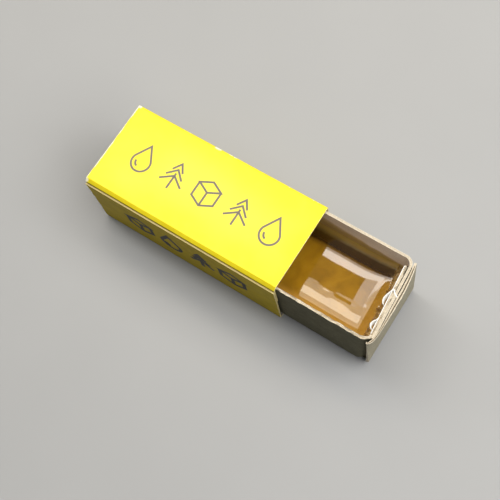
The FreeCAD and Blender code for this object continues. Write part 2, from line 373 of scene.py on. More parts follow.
def cut_edge(name, dark, light, tear_mm):
    """A cut edge of card or board: thin plies, drawn by the ply layer, torn fibres, and painted shade in a
    slot.
    """
    m = Nodes(name)
    plies = m.ramp(m.maths("ADD", m.maths("MULTIPLY", m.layer("ply"), 0.9),
                           m.maths("MULTIPLY", m.noise(0.35, detail=3), 0.12)),
                   ((0.10, 1.0), (0.24, 0.25), (0.40, 0.9), (0.56, 0.2), (0.72, 0.95), (0.88, 0.35),
                    (0.98, 1.0)))
    colour = m.mix(plies, dark, light)
    torn = m.ramp(m.noise(tear_mm, detail=5, rough=0.75), ((0.35, 0.0), (0.65, 1.0)))
    colour = m.mix(m.maths("MULTIPLY", torn, 0.45), colour, tuple(c * 0.72 for c in dark))
    # Painted shade: the deep slot between parted plies is painted nearly black.
    colour = m.mix(m.layer("slot"), colour, tuple(c * 0.06 for c in dark))
    m.set(Roughness=0.95, Specular_IOR_Level=0.2)
    rough = m.bump(m.noise(0.14, detail=5, rough=0.7), 0.05, 0.8)
    return m.finish(colour, None, m.bump(plies, 0.03, 0.5, after=rough))


def bare_board(name, dark, light):
    """The board's bare outer face: grey-olive pulp with dark and pale flecks."""
    m = Nodes(name)
    colour = board_colour(m, dark, light)
    flecks = m.ramp(m.noise(0.55, detail=5, rough=0.75), ((0.56, 0.0), (0.70, 1.0)))
    colour = m.mix(m.maths("MULTIPLY", flecks, 0.55), colour, tuple(c * 0.4 for c in dark))
    m.set(Roughness=0.93, Specular_IOR_Level=0.25)
    fine = m.bump(m.noise(0.16, detail=4, rough=0.65), 0.03, 0.7)
    return m.finish(colour, None, m.bump(m.noise(1.1, detail=3), 0.06, 0.5, after=fine))


def inner_board_painted_lighter():
    """The board's inner face, paler than the outer and painted lighter still for light it does not get,
    soaked with amber where the stain layer is high.
    """
    m = Nodes("inner_board_painted_lighter")
    # Painted light: the inner face is paler than the outer face and painted lighter still, standing in for
    # light that the far wall does not get.
    colour = board_colour(m, (0.78, 0.70, 0.62), (0.88, 0.81, 0.73))
    patches = m.ramp(m.noise(1.8, detail=4), ((0.2, 0.72), (0.7, 1.0)))
    patchy = m.maths("MULTIPLY", patches, m.layer("stain"))
    soaked = m.ramp(patchy, ((0.05, 0.0), (0.45, 0.92), (0.9, 1.0)))
    amber = m.ramp(patchy, ((0.10, (0.66, 0.53, 0.32)), (0.35, (0.54, 0.41, 0.16)),
                            (0.70, (0.42, 0.30, 0.09))))
    colour = m.mix(soaked, colour, amber)
    roughness = m.ramp(patchy, ((0.35, 0.9), (0.9, 0.3)))
    fine = m.bump(m.noise(0.16, detail=4, rough=0.65), 0.02, 0.6)
    return m.finish(colour, roughness, m.bump(m.noise(1.1, detail=3), 0.05, 0.4, after=fine))


def white_paper():
    """Thin white paper with a soft tooth."""
    m = Nodes("white_paper")
    colour = m.mix(m.noise(0.5, detail=4), (0.80, 0.79, 0.75), (0.93, 0.92, 0.89))
    m.set(Roughness=0.85, Specular_IOR_Level=0.25, Subsurface_Weight=0.1)
    m.shader.inputs["Subsurface Radius"].default_value = (0.0003, 0.0003, 0.0003)
    return m.finish(colour, None, m.bump(m.noise(0.15, detail=4), 0.02, 0.5))


ROSIN_SCATTER = (1.0, 0.45, 0.08)   # light travels furthest through rosin in red, hardly at all in blue


def rosin_amber():
    """Cast rosin: clear gold where it is deep; where it climbs the board, painted shade in a dark brown band
    below an olive film; under a hard gloss.
    """
    m = Nodes("rosin_amber")
    cloud = m.noise(5.0, detail=3, rough=0.5, distortion=0.6)
    deep = m.ramp(cloud, ((0.30, (0.245, 0.120, 0.006)), (0.55, (0.33, 0.168, 0.008)),
                          (0.80, (0.37, 0.185, 0.018))))
    bright = m.ramp(cloud, ((0.30, (0.42, 0.21, 0.025)), (0.80, (0.54, 0.29, 0.065))))
    gold = m.mix(m.layer("golden"), deep, bright)
    climb_at = m.maths("ADD", m.layer("climb"), m.maths("MULTIPLY", m.noise(1.5, detail=2), 0.06))
    # Painted shade: where the rosin climbs the board it is painted dark brown, standing in for the dark it
    # reflects and the shaded board seen through it; the olive at the top of the climb is the rosin's own
    # thin film.
    thin = m.ramp(climb_at, ((0.11, (0.20, 0.095, 0.010)), (0.18, (0.055, 0.024, 0.003)),
                             (0.38, (0.080, 0.040, 0.005)), (0.58, (0.25, 0.165, 0.034)),
                             (0.95, (0.42, 0.300, 0.100))))
    colour = m.mix(m.ramp(climb_at, ((0.10, 0.0), (0.17, 1.0))), gold, thin)
    streak = m.ramp(m.noise(0.9, detail=3, stretch=(0.18, 1, 1)), ((0.50, 0.0), (0.70, 1.0)))
    streak = m.maths("MULTIPLY", streak, m.layer("golden"))
    colour = m.mix(m.maths("MULTIPLY", streak, 0.25), colour, (0.62, 0.38, 0.13))
    crumbly = m.layer("crumbly")
    broken = m.ramp(m.noise(0.5, detail=5, rough=0.7),
                    ((0.3, (0.22, 0.11, 0.014)), (0.7, (0.62, 0.38, 0.11))))
    colour = m.mix(crumbly, colour, broken)
    roughness = m.mix(crumbly, (0.045, 0.045, 0.045), (0.45, 0.45, 0.45))
    m.set(IOR=1.54, Subsurface_Weight=0.12, Subsurface_Scale=0.001)
    m.set(Coat_Weight=1.0, Coat_IOR=1.62, Coat_Roughness=0.04)
    m.shader.inputs["Subsurface Radius"].default_value = ROSIN_SCATTER
    ripple = m.bump(m.noise(2.6, detail=2, stretch=(0.35, 1, 1)), 0.01, 0.06)
    rough = m.maths("MULTIPLY", m.noise(0.3, detail=4), crumbly)
    return m.finish(colour, roughness, m.bump(rough, 0.12, 1.0, after=ripple))


def rosin_crumb():
    """Broken rosin: brown to pale gold, glossy on some faces."""
    m = Nodes("rosin_crumb")
    colour = m.ramp(m.noise(0.5, detail=5, rough=0.7),
                    ((0.25, (0.16, 0.07, 0.008)), (0.50, (0.42, 0.23, 0.03)), (0.75, (0.66, 0.44, 0.16))))
    roughness = m.ramp(m.noise(0.8, detail=3), ((0.3, 0.12), (0.7, 0.5)))
    m.set(IOR=1.54, Subsurface_Weight=0.3, Subsurface_Scale=0.001)
    m.shader.inputs["Subsurface Radius"].default_value = ROSIN_SCATTER
    return m.finish(colour, roughness, m.bump(m.noise(0.25, detail=4), 0.06, 0.8))


def ink(name, dark, light):
    """Matt printing ink that lets a little of the card's grain through."""
    m = Nodes(name)
    colour = m.mix(m.noise(0.25, detail=4, rough=0.7), dark, light)
    m.set(Roughness=0.55, Specular_IOR_Level=0.35)
    return m.finish(colour, None, m.bump(m.noise(0.15, detail=3), 0.006, 0.5))


def dried_glue():
    """Yellowed glue, half glossy."""
    m = Nodes("dried_glue")
    colour = m.mix(m.noise(1.2, detail=4), (0.50, 0.42, 0.26), (0.70, 0.64, 0.46))
    roughness = m.ramp(m.noise(0.8, detail=3), ((0.3, 0.25), (0.7, 0.5)))
    return m.finish(colour, roughness, m.bump(m.noise(0.6, detail=4), 0.05, 0.7))


def studio_floor():
    """Plain grey paper."""
    m = Nodes("studio_floor")
    colour = m.mix(m.noise(40.0, detail=2), (0.36, 0.36, 0.357), (0.385, 0.385, 0.382))
    m.set(Roughness=0.75, Specular_IOR_Level=0.3)
    return m.finish(colour, None, m.bump(m.noise(0.8, detail=3), 0.01, 0.2))


YELLOW = printed_card()
CARD_BACK = card_back()
CARD_EDGE = cut_edge("card_cut_edge", (0.60, 0.47, 0.17), (0.82, 0.70, 0.36), 0.3)
# Lit and shaded copies of one board: painted shade darkens the first (tray sides, rear flap, floor), painted
# light brightens the second (the open end's flap).
SHADED_GREYBOARD = bare_board("bare_board", (0.078, 0.072, 0.042), (0.165, 0.152, 0.092))
LIT_BOARD_COPY = bare_board("board_painted_lit", (0.23, 0.205, 0.142), (0.43, 0.39, 0.285))
INNER_BOARD_PAINTED_LIGHTER = inner_board_painted_lighter()
BOARD_EDGE = cut_edge("board_cut_edge", (0.38, 0.29, 0.17), (0.90, 0.82, 0.67), 0.4)
PAPER = white_paper()
AMBER = rosin_amber()
CRUMB = rosin_crumb()
GREY_INK = ink("grey_ink", (0.15, 0.128, 0.115), (0.21, 0.182, 0.155))
BLACK_INK = ink("black_ink", (0.012, 0.011, 0.008), (0.035, 0.031, 0.02))
GLUE = dried_glue()


# -------- the sleeve

def sleeve_path():
    """The outer face of the folded card, from the near wall's cut top edge round to the glue flap's end."""
    bottom_fold = NEAR_LOW[2]
    far_fold = TOP_HIGH[2] - FAR_HIGH[2]
    near_fold = TOP_HIGH[2] - FLAP_HIGH[2]
    crease = near_fold * 0.25
    width = BOTTOM_HIGH[1] - BOTTOM_LOW[1]
    return folded((NEAR_LOW[1], NEAR_HIGH[2]), -90, (
        NEAR_HIGH[2] - bottom_fold, (bottom_fold, 90), width - 2 * bottom_fold, (bottom_fold, 90),
        TOP_HIGH[2] - bottom_fold - far_fold, (far_fold, 90),
        TOP_HIGH[1] - far_fold - (TOP_LOW[1] + near_fold), (crease, 45), (near_fold - crease) * math.sqrt(2),
        (crease, 45), FLAP_HIGH[2] - FLAP_LOW[2]), 0.6)


def top_sag(x, y):
    """How far the top panel lies below its highest possible face: a soft hollow and slow waves."""
    across = (y - TOP_LOW[1]) / (TOP_HIGH[1] - TOP_LOW[1])
    hollow = 0.10 * np.sin(np.pi * np.clip(across, 0, 1)) * (0.6 + 0.4 * np.abs(x) / SLEEVE_END)
    return INK_DEPTH + hollow + 0.03 * (1 + noise(x + 40, y + 40, 9.0, 11))


def side_sag(x, z):
    """The same for the two side walls."""
    up = np.clip(z / TOP_HIGH[2], 0, 1)
    return INK_DEPTH + 0.10 * np.sin(np.pi * up) + 0.02 * (1 + noise(x + 40, z, 8.0, 12))


def sleeve_wear(x, y, z):
    """1 where the print is rubbed off: at the rear corners, along the cut ends and on the far fold."""
    to_end = SLEEVE_END - np.abs(x)
    rear = SLEEVE_END + x
    far_fold = np.hypot(y - TOP_HIGH[1], z - TOP_HIGH[2])
    near_fold = np.hypot(y - TOP_LOW[1], z - TOP_HIGH[2])
    patch = smooth(noise(x, 0 * x, 1.3, 21), -0.1, 0.5)
    scuff_at, scuff_reach = -2.6, 2.6
    scuff = np.exp(-((x - scuff_at) / scuff_reach) ** 2) * patch
    wear = 0.95 * scuff * (1 - smooth(far_fold, 0.35, 1.0))
    corners = (1 - smooth(np.minimum(far_fold, near_fold), 0.3, 1.5)) * (1 - smooth(rear, 0.2, 1.7))
    wear = np.maximum(wear, corners)
    wear = np.maximum(wear, 0.85 * (1 - smooth(rear, 0.05, 0.55)) * smooth(noise(y, z, 1.7, 22), -0.6, 0.3))
    wear = np.maximum(wear, 0.6 * (1 - smooth(to_end, 0.03, 0.22)))
    fold = 1 - smooth(far_fold, 0.25, 0.75)
    return np.maximum(wear, 0.62 * fold * smooth(noise(x, y, 0.8, 23), 0.15, 0.8))


def faded(x, y):
    """Painted sheen: how far the top's print is painted paler, most in the middle, not at all at its edges.
    """
    across = smooth(TOP_HIGH[1] - np.abs(y), 0.3, 8.0)
    return across * (0.55 + 0.45 * noise(x, y, 9.0, 24)) * smooth(SLEEVE_END - np.abs(x), -4.0, 8.0)


def make_sleeve():
    """One sheet of card, folded into a flat tube with its glue flap tucked inside the near wall."""
    path = sleeve_path()
    flap_start = path[2][-1] - (FLAP_HIGH[2] - FLAP_LOW[2])

    def place(s, x, t):
        outer, inward = along(path, s)
        top = smooth(-inward[:, 1], 0.6, 1.0)
        side = smooth(np.abs(inward[:, 0]), 0.6, 1.0)
        tucked = smooth(s, flap_start - 0.4, flap_start + 0.2)
        depth = top * top_sag(x, outer[:, 0]) + side * side_sag(x, outer[:, 1]) * (1 - tucked)
        depth += (1 - top) * (1 - side) * smooth(outer[:, 1], 5, 15) * INK_DEPTH
        cut = smooth(np.abs(x), SLEEVE_END - 0.05, SLEEVE_END)
        fray = cut * 0.05 * (1 + ragged(s, t * 3, 0.8, 31))
        yz = outer + inward * (depth + t)[:, None]
        yz[:, 0] += 0.03 * tucked
        first = 1 - smooth(s, 0.0, 0.05)
        yz[:, 1] -= first * 0.06 * (1 + ragged(x, t * 3, 0.9, 33))
        points = np.stack((x - np.sign(x) * fray, yz[:, 0], yz[:, 1]), -1)
        # Besides wear, the layers carry the top's painted sheen and the side walls' painted shade.
        return points, {"wear": sleeve_wear(x, outer[:, 0], outer[:, 1]), "side": side,
                        "faded": top * faded(x, outer[:, 0]), "ply": t / CARD}

    piece = sheet("sleeve_card", path[2], spaced(-SLEEVE_END, SLEEVE_END, 0.55, (0.05, 0.18, 0.35)),
                  np.linspace(0, CARD, 4), place, (YELLOW, CARD_BACK, CARD_EDGE))
    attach(piece, "sleeve")
    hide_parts("sleeve_top_panel", "sleeve_far_wall", "sleeve_bottom_panel", "sleeve_near_wall",
                "sleeve_glue_flap")


# -------- printed ornaments

def drop_outline():
    """A hanging drop of resin, in a unit square."""
    points = [(0.0, 0.5)]
    points += [(0.34 * math.sin(a), -0.16 - 0.34 * math.cos(a)) for a in np.linspace(1.95, -1.95, 25)]
    return points + [(0.0, 0.5)]


def ornament(kind):
    """The strokes of one mark in a unit square: a drop, a fir tree or a block."""
    if kind == "drop":
        shine = [(0.19 * math.sin(a), -0.16 - 0.19 * math.cos(a)) for a in np.linspace(-0.35, -1.6, 9)]
        return [drop_outline(), shine]
    if kind == "tree":
        tiers = [[(-w, y), (0.0, y + 0.30), (w, y)] for w, y in ((0.20, 0.18), (0.31, -0.06), (0.42, -0.30))]
        return tiers + [[(0.0, 0.10), (0.0, -0.5)]]
    half, rise = 0.42, 0.21
    top = [(0.0, 0.46), (half, 0.46 - rise), (0.0, 0.46 - 2 * rise), (-half, 0.46 - rise), (0.0, 0.46)]
    sides = [(-half, 0.46 - rise), (-half, -0.26), (0.0, -0.47), (half, -0.26), (half, 0.46 - rise)]
    return [top, sides, [(0.0, 0.46 - 2 * rise), (0.0, -0.47)]]


def resampled(points, step):
    """A polyline with its runs divided evenly and its own points kept."""
    points = np.asarray(points, float)
    out = [points[0]]
    for a, b in zip(points, points[1:]):
        count = max(1, int(math.ceil(np.linalg.norm(b - a) / step)))
        out += [a + (b - a) * k / count for k in range(1, count + 1)]
    return np.array(out)


def stroke(points, width):
    """A flat ribbon along a polyline with mitred corners and square ends: its left and right points."""
    closed = np.linalg.norm(points[0] - points[-1]) < 1e-6
    runs = np.diff(points, axis=0)
    runs /= np.linalg.norm(runs, axis=1)[:, None]
    before = np.vstack((runs[-1] if closed else runs[0], runs))
    after = np.vstack((runs, runs[0] if closed else runs[-1]))
    tangent = before + after
    tangent /= np.linalg.norm(tangent, axis=1)[:, None]
    normal = np.stack((-tangent[:, 1], tangent[:, 0]), -1)
    cosine = np.maximum(0.45, np.abs((normal * np.stack((-after[:, 1], after[:, 0]), -1)).sum(1)))
    reach = (width / 2 / cosine)[:, None]
    return points + normal * reach, points - normal * reach


def ornaments(name, kinds, centres, size, width, lay, material):
    """A row of marks as thin ink: lay(u, v, height) puts flat points onto the card."""
    points, faces = [], []
    for kind, (cu, cv) in zip(kinds, centres):
        for line in ornament(kind):
            scaled = np.asarray(line, float) * size + (cu, cv)
            left, right = stroke(resampled(scaled, 0.5), width)
            start, count = len(points), len(left)
            for low_or_high in (0.0, INK_DEPTH * 0.7):
                for side in (left, right):
                    points += list(lay(side[:, 0], side[:, 1], low_or_high))
            for k in range(count - 1):
                a = [start + k + count * n for n in range(4)]
                b = [index + 1 for index in a]
                faces += [(a[0], a[1], b[1], b[0]), (a[2], b[2], b[3], a[3]),
                          (a[0], b[0], b[2], a[2]), (a[1], a[3], b[3], b[1])]
            for k in (0, count - 1):
                faces.append(tuple(start + k + count * n for n in (0, 1, 3, 2)))
    piece = make_object(name, points, faces, (material,), [0] * len(faces), sharp=30)
    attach(piece, "sleeve")


def make_print():
    """Five thin outline marks on the top and four bold ones on the near wall."""
    def on_top(u, v, height):
        z = TOP_HIGH[2] - top_sag(u, v) + height
        return np.stack((u, v, z), -1)

    def on_side(u, v, height):
        y = NEAR_LOW[1] + side_sag(u, v) - height
        return np.stack((u, y, v), -1)

    top_pitch, top_size, top_width = 9.25, 7.3, 0.5
    side_pitch, side_size, side_width = 9.2, 8.2, 1.15
    middle_y = (TOP_LOW[1] + TOP_HIGH[1]) / 2
    top_centres = [(0.65 + top_pitch * k, middle_y + 0.2) for k in range(-2, 3)]
    ornaments("sleeve_top_marks", ("drop", "tree", "block", "tree", "drop"), top_centres,
              top_size, top_width, on_top, GREY_INK)
    side_centres = [(0.6 + side_pitch * k, 10.6) for k in (-1.5, -0.5, 0.5, 1.5)]
    ornaments("sleeve_side_marks", ("block", "drop", "tree", "block"), side_centres,
              side_size, side_width, on_side, BLACK_INK)


# -------- the tray

MIDDLE = 2.0                # Y at which the two offsets below are stated
NEAR_TAB_OUT = 0.45         # how far the inner tab's top is pushed out there
FAR_TAB_OUT = 0.50
NEAR_TAB_SLOPE = 0.085      # the open end's tabs stand askew: their far ends further in
FAR_TAB_SLOPE = 0.064
BOW = 0.10                  # how far the tray's long walls bulge inwards half way up
TAB_DROP = 0.15             # how much lower the tabs' tops are than the walls'
STAIN_TOP = 17.3            # how high the rosin has soaked the walls at X = STAIN_AT
STAIN_AT = 30.0
STAIN_SLOPE = 0.13          # and how much lower for each millimetre towards the open end


def lean(z):
    """From 0 at the floor to 1 at the rim."""
    return np.clip((z - TAB_FOOT) / (RIM - TAB_FOOT), 0, 1) ** 1.2


def stain(z, top):
    """How deeply the rosin has soaked the board: most at the contact line, less up to top, none above."""
    share = np.clip((z - ROSIN_HIGH[2]) / (top - ROSIN_HIGH[2]), 0, 1)
    return (0.8 - 0.5 * share) * (1 - smooth(z, top - 0.3, top + 0.4))


def near_tab_out(y):
    """How far the inner tab's top at the open end is pushed out."""
    return NEAR_TAB_OUT - NEAR_TAB_SLOPE * (np.maximum(y, TRAY_NEAR_LOW[1] + CORNER) - MIDDLE)


def far_tab_out(y):
    """The same for the tab outside it."""
    return FAR_TAB_OUT - FAR_TAB_SLOPE * (np.minimum(y, TRAY_FAR_HIGH[1] - CORNER) - MIDDLE)


def rim_damage(s, t, near):
    """How far a long side's rim is torn down and pushed about: badly on the near side, hardly on the far."""
    if near:
        tear = 0.16 * (1 + ragged(s, t * 1.4, 0.8, 43))
        tear += 0.45 * smooth(ragged(s, t * 2, 1.4, 44), 0.1, 0.5)
        return tear, 0.14 * ragged(s, t, 0.8, 45)
    return 0.03 * (1 + ragged(s, t * 1.2, 0.8, 46)), 0.015 * ragged(s, t, 0.9, 47)


def wall_strip(name, path, mouth_bend, near):
    """One long side of the tray with the tabs at both its ends, as a single bent strip. mouth_bend says
    between which lengths of its path it turns round the open end's corner."""
    heights = spaced(TAB_FOOT, RIM, 0.6, (0.08, 0.22, 0.45))
    lead_in = 2.5

    def place(s, z, t):
        outer, inward = along(path, s)
        xy = outer + inward * (t * BOARD)[:, None]
        x, y = xy[:, 0], xy[:, 1]
        if near:
            out = smooth(s, mouth_bend[0] - lead_in, mouth_bend[1]) * near_tab_out(y)
        else:
            out = (1 - smooth(s, mouth_bend[0], mouth_bend[1] + lead_in)) * far_tab_out(y)
        x = x + out * lean(z)
        wall = smooth(np.abs(inward[:, 1]), 0.8, 1.0)
        bow = wall * BOW * np.sin(np.pi * np.clip((z - TAB_FOOT) / (RIM - TAB_FOOT), 0, 1))
        y = y + inward[:, 1] * (bow + 0.03 * noise(s, z, 5.0, 41 + near))
        top = smooth(z, RIM - 0.06, RIM)
        tear, sway = rim_damage(s, t, near)
        height = z - top * tear - smooth(z, RIM - 4, RIM) * TAB_DROP * (1 - wall)
        fray = smooth(z, RIM - 0.5, RIM)
        x, y = x + inward[:, 0] * sway * fray, y + inward[:, 1] * sway * fray
        foot = smooth(TAB_FOOT + 0.05 - z, 0, 0.05)
        height = height + foot * 0.03 * (1 + ragged(s, t, 0.8, 48))
        stain_top = STAIN_TOP - STAIN_SLOPE * (x - STAIN_AT) + 0.35 * noise(s, 0 * s, 2.2, 49)
        soaked = stain(z, stain_top) * (t > 0.9)
        return np.stack((x, y, height), -1), {"ply": t, "stain": soaked}

    piece = sheet(name, path[2], heights, np.linspace(0, 1, 6), place, (SHADED_GREYBOARD, INNER_BOARD_PAINTED_LIGHTER, BOARD_EDGE))
    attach(piece, "tray")
    return piece


def make_walls():
    """The near side runs from the rear tab round to the mouth tab, and the far side the other way."""
    tab_reach = NEAR_TAB_HIGH[1] - (TRAY_NEAR_LOW[1] + CORNER)
    wall = TRAY_NEAR_HIGH[0] - TRAY_NEAR_LOW[0]
    near_path = folded((REAR_NEAR_TAB_LOW[0], NEAR_TAB_HIGH[1]), -90,
                       (tab_reach, (CORNER, 90), wall, (CORNER, 90), tab_reach), 0.4)
    arc = CORNER * math.pi / 2
    bend = tab_reach + arc + wall
    near = wall_strip("tray_near_side", near_path, (bend, bend + arc), True)
    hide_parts("tray_near_wall", "mouth_near_tab", "rear_near_tab")

    far_reach = (TRAY_FAR_HIGH[1] - CORNER) - FAR_TAB_LOW[1]
    far_wall = TRAY_FAR_HIGH[0] - TRAY_FAR_LOW[0]
    far_path = folded((FAR_TAB_HIGH[0], FAR_TAB_LOW[1]), 90,
                      (far_reach, (CORNER, 90), far_wall, (CORNER, 90), far_reach), 0.4)
    far = wall_strip("tray_far_side", far_path, (far_reach, far_reach + arc), False)
    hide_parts("tray_far_wall", "mouth_far_tab", "rear_far_tab")


def mouth_rims():
    """The outer and inner edge of the open end's flap at its rim, bowed outwards. Their points are given by
    how far they lie in from the flap's outermost face, and how far along it."""
    low, width, out = MOUTH_FLAP_LOW[1], MOUTH_FLAP_HIGH[1] - MOUTH_FLAP_LOW[1], MOUTH_FLAP_HIGH[0]
    outer = ((1.64, -0.18), (1.08, -0.10), (0.55, 0.6), (0.18, 2.3), (0.07, 5.8), (0.07, 10.8), (0.18, 14.8),
             (0.68, 18.8), (1.15, width - 0.2))
    inner = ((1.68, 0.22), (1.30, 0.32), (0.98, 0.95), (0.60, 2.3), (0.62, 5.8), (0.98, 10.8), (1.14, 14.8),
             (1.42, 18.8), (1.72, width - 0.3))
    return [curve_points([(out - inset, low + run) for inset, run in edge]) for edge in (outer, inner)]


def make_mouth_flap():
    """The open end's flap: folded up from the floor to its bowed rim, where its plies have parted."""
    outer, inner = mouth_rims()
    foot_low, foot_width = MOUTH_FLAP_LOW[1] + 0.35, MOUTH_FLAP_HIGH[1] - MOUTH_FLAP_LOW[1] - 0.15
    profile = folded((TRAY_FLOOR_HIGH[0], TRAY_FLOOR_LOW[2]), 0, FLAP_PROFILE, 0.8)
    below_top = (0.08, 0.25, 0.5, 0.9, 1.4)
    lengths = np.unique(np.concatenate((profile[2], [profile[2][-1] - d for d in below_top])))
    plies = np.array((0.0, 0.1, 0.2, 0.31, 0.37, 0.42, 0.47, 0.53, 0.62, 0.7, 0.8, 0.9, 1.0))
    worn_reach, split_depth, corner_depth = 1.7, 0.8, 0.45
    index = np.arange(len(outer))

    def at(curve, u):
        """A curve's points at fractional indices u."""
        return np.stack([np.interp(u, index, curve[:, k]) for k in (0, 1)], -1)

    def place(s, u, t):
        flat, inward = along(profile, s)
        base = flat + inward * (t * BOARD)[:, None]
        z = base[:, 1]
        up = np.clip((z - TRAY_NEAR_LOW[2]) / (RIM - TRAY_NEAR_LOW[2]), 0, 1)[:, None] ** 1.15
        share = u / index[-1]
        foot = np.stack((base[:, 0], foot_low + foot_width * share), -1)
        rim = at(outer, u) * (1 - t)[:, None] + at(inner, u) * t[:, None]
        xy = foot * (1 - up) + rim * up
        edge = smooth(z, RIM - 0.3, RIM)
        worn = np.clip((z - RIM + worn_reach) / worn_reach, 0, 1) ** 1.5
        parted = smooth(t, 0.31, 0.37) * (1 - smooth(t, 0.47, 0.53))
        swell = smooth(share, 0.08, 0.22) * (1 - smooth(share, 0.90, 0.98))
        groove = smooth(t, 0.6, 0.7) * (1 - smooth(t, 0.7, 0.8))
        run = u * 0.4
        drop = 0.06 * (1 + ragged(run, t, 0.9, 51)) + 0.10 * smooth(ragged(run, t * 2, 2.5, 52), 0, 0.8)
        drop += swell * (split_depth * parted + 0.10 * groove + 0.15 * smooth(t, 0.4, 0))
        drop += corner_depth * (1 - smooth(share, 0.05, 0.17))
        xy[:, 0] += edge * 0.05 * ragged(run, t * 2, 0.8, 54)
        points = np.stack((xy[:, 0], xy[:, 1], z - worn * drop), -1)
        # The slot layer says where the parted plies get painted shade.
        return points, {"ply": t, "slot": np.clip(1.3 * parted * swell, 0, 1)}

    piece = sheet("mouth_flap", lengths, index.astype(float), plies, place,
                  (LIT_BOARD_COPY, INNER_BOARD_PAINTED_LIGHTER, BOARD_EDGE))
    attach(piece, "tray")
    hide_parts("mouth_end_flap")


def make_rear_flap():
    """The flap at the other end, undamaged: the same fold turned the other way."""
    low, high = REAR_FLAP_LOW[1], REAR_FLAP_HIGH[1]
    half = (high - low) / 2
    profile = folded((TRAY_FLOOR_LOW[0], TRAY_FLOOR_LOW[2]), 0, FLAP_PROFILE, 0.8)

    def place(s, y, t):
        flat, inward = along(profile, s)
        x = 2 * TRAY_FLOOR_LOW[0] - (flat[:, 0] + inward[:, 0] * t * BOARD)
        z = flat[:, 1] + inward[:, 1] * t * BOARD
        edge = smooth(z, RIM - 0.06, RIM)
        side = smooth(np.abs(y - (low + high) / 2), half - 0.05, half)
        z = z - edge * 0.05 * (1 + ragged(y, t, 0.9, 55))
        y = y - np.sign(y) * side * 0.04 * (1 + ragged(z, t, 0.9, 56))
        x = x + 0.04 * smooth(z, 2, 4) * (1 + noise(y, z, 5.0, 57))
        return np.stack((x, y, z), -1), {"ply": t}

    piece = sheet("rear_flap", profile[2], spaced(low, high, 0.5, (0.08, 0.25)), np.linspace(0, 1, 5), place,
                  (SHADED_GREYBOARD, INNER_BOARD_PAINTED_LIGHTER, BOARD_EDGE))
    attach(piece, "tray")
    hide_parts("rear_end_flap")


def tab_face(y, z):
    """X of the inner tab's inner face at the open end."""
    return NEAR_TAB_HIGH[0] - BOARD + near_tab_out(y) * lean(z)


def ribbon(name, plan, low, high, thick, tilt):
    """An upright paper ribbon along a plan curve; tilt leans its foot back towards +X."""
    path = curve_through(plan)

    def place(s, z, t):
        p, n = along(path, s)
        sway = tilt * (high - z)
        x = p[:, 0] + n[:, 0] * t * thick + sway
        y = p[:, 1] + n[:, 1] * t * thick
        top = smooth(z, high - 0.08, high)
        return np.stack((x, y, z - top * 0.06 * (1 + ragged(s, t, 0.7, 61))), -1), {}

    piece = sheet(name, path[2], spaced(low, high, 0.4, (0.08,)), np.linspace(0, 1, 3), place,
                  (PAPER,), (0, 0, 0))
    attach(piece, "tray")


def make_paper():
    """The white face of the inner tab, and the two stretches of its edge that have curled off."""
    low, high, thick = 9.0, TAB_TOP + 0.10, 0.16
    width = spaced(TRAY_NEAR_LOW[1] + CORNER, NEAR_TAB_HIGH[1] - 0.3, 0.4)
    curl_thick, curl_tilt = 0.12, 0.25

    def place(y, z, t):
        x = tab_face(y, z) - 0.005 - t * thick
        top = smooth(z, high - 0.08, high)
        return np.stack((x, y, z - top * 0.05 * (1 + ragged(y, t, 0.8, 62))), -1), {}

    skin = sheet("paper_face", width, spaced(low, high, 0.8, (0.08,)), np.linspace(0, 1, 3), place,
                 (PAPER,), (0, 0, 0))
    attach(skin, "tray")
    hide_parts("mouth_paper_skin")

    def off(y, distance):
        """A plan point at the given distance in front of the skin."""
        return (float(tab_face(np.array(y), np.array(high))) - thick - distance, y)

    far_curl = ((2.7, -0.02), (2.0, 0.22), (1.1, 0.62), (0.2, 0.92), (-0.6, 0.95), (-1.4, 0.62))
    near_curl = ((-4.6, 0.0), (-5.2, 0.25), (-5.9, 0.75), (-6.7, 1.02), (-7.4, 0.75), (-7.8, 0.2))
    bridge = [(MOUTH_FLAP_HIGH[0] - 0.85, 1.6), off(2.1, -1.0), off(2.75, -0.5), off(2.6, 0.0)]
    ribbon("paper_curl_far", [off(*spot) for spot in far_curl], high - 1.5, high, curl_thick, curl_tilt)
    ribbon("paper_curl_near", [off(*spot) for spot in near_curl], high - 1.4, high, curl_thick, curl_tilt)
    ribbon("paper_bridge", bridge, TAB_TOP - 0.3, TAB_TOP + 0.12, 0.28, 0.0)


# -------- the rosin

LEVEL = 10.15               # the lowest part of the dish
LIP_AT = 48.05              # X of the broken lip at the open end, at Y = 0
LIP_SLOPE = 0.078
CREASE_AT = 46.15           # X of the crease in the surface behind it, at Y = 0
CREASE_SLOPE = 0.053
DISH_REACH = 6.4            # how far behind the crease the surface starts to curve up to it
DISH_CURVE = 0.0255
BLEND = 1.2                 # how the climbs add up where they meet; 1 would be a plain sum


def climb(d, scale=1.0):
    """Height of the meniscus at a distance from a wall: a wide dish and a steep foot."""
    wide_height, wide_reach = 2.66, 1.9
    steep_height, steep_reach = 0.9, 0.35
    return scale * (wide_height * np.exp(-d / wide_reach) + steep_height * np.exp(-d / steep_reach))


def lip_x(y):
    """X of the broken lip."""
    return LIP_AT - LIP_SLOPE * y


